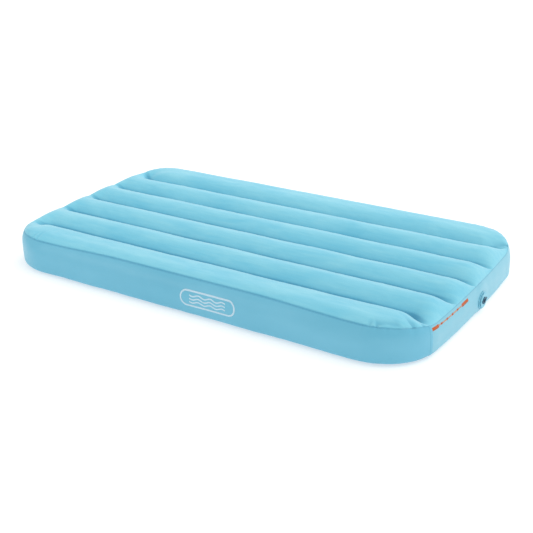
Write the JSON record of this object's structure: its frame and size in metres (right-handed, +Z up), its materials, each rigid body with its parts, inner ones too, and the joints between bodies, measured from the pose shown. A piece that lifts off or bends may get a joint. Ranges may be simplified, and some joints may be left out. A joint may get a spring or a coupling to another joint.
{
  "type": "air mattress",
  "caption": "Inflatable flocked child-size airbed with lengthwise tubes tied by inner film beams, a welded side wall and a screw-in air valve with a hinged cap.",
  "frame": {"origin": "middle of the footprint, on the floor", "axes": "+X to the end wall with the valve, +Z up, -Y to the long side that carries the print"},
  "size_m": [1.5794, 0.88, 0.134],
  "materials": {
    "flocked_top": "short-pile flocking on vinyl, pale blue",
    "wall_vinyl": "smooth satin vinyl film, sky blue",
    "base_vinyl": "fine-grained satin vinyl film, blue",
    "beam_film": "satin vinyl film",
    "valve_vinyl": "satin moulded vinyl, sky blue",
    "cap_vinyl": "satin moulded vinyl, dark teal",
    "seal_rubber": "soft translucent grey"
  },
  "bodies": {
    "root": {"bottom_panel": "base_vinyl", "side_wall": "wall_vinyl", "beam_1": "beam_film", "beam_2": "beam_film", "beam_3": "beam_film", "beam_4": "beam_film", "beam_5": "beam_film"},
    "top": {"top_panel": "flocked_top"},
    "valve": {"valve_base": "valve_vinyl"},
    "seal": {"insert_seal": "seal_rubber"},
    "insert": {"valve_insert": "valve_vinyl", "cap_strap": "cap_vinyl"},
    "flap": {"check_flap": "seal_rubber"},
    "cap": {"valve_cap": "cap_vinyl"}
  },
  "joints": [
    {"name": "top_sink", "type": "slide", "parent": "root", "child": "top", "axis": [0, 0, -1], "range_m": [0, 0.0402], "stiffness_N_per_m": 8000, "deforming": ["side_wall", "beam_1", "beam_2", "beam_3", "beam_4", "beam_5"]},
    {"name": "valve_sink", "type": "slide", "parent": "root", "child": "valve", "axis": [0, 0, -1], "range_m": [0, 0.0121]},
    {"name": "insert_withdraw", "type": "slide", "parent": "valve", "child": "seal", "axis": [1, 0, 0], "range_m": [0, 0.012]},
    {"name": "insert_turn", "type": "hinge", "parent": "seal", "child": "insert", "pos_m": [0.785, 0.033, 0.04], "axis": [1, 0, 0], "range_deg": [0, 1080]},
    {"name": "flap_lift", "type": "slide", "parent": "insert", "child": "flap", "axis": [-1, 0, 0], "range_m": [0, 0.003], "stiffness_N_per_m": 30},
    {"name": "cap_hinge", "type": "hinge", "parent": "insert", "child": "cap", "pos_m": [0.7933, 0.047, 0.04], "axis": [0, 0, 1], "range_deg": [0, 150]}
  ],
  "couplings": [
    {"joint": "valve_sink", "follows": "top_sink", "ratio": 0.2985},
    {"joint": "insert_turn", "follows": "insert_withdraw", "rad_per_m": 1570.8}
  ]
}
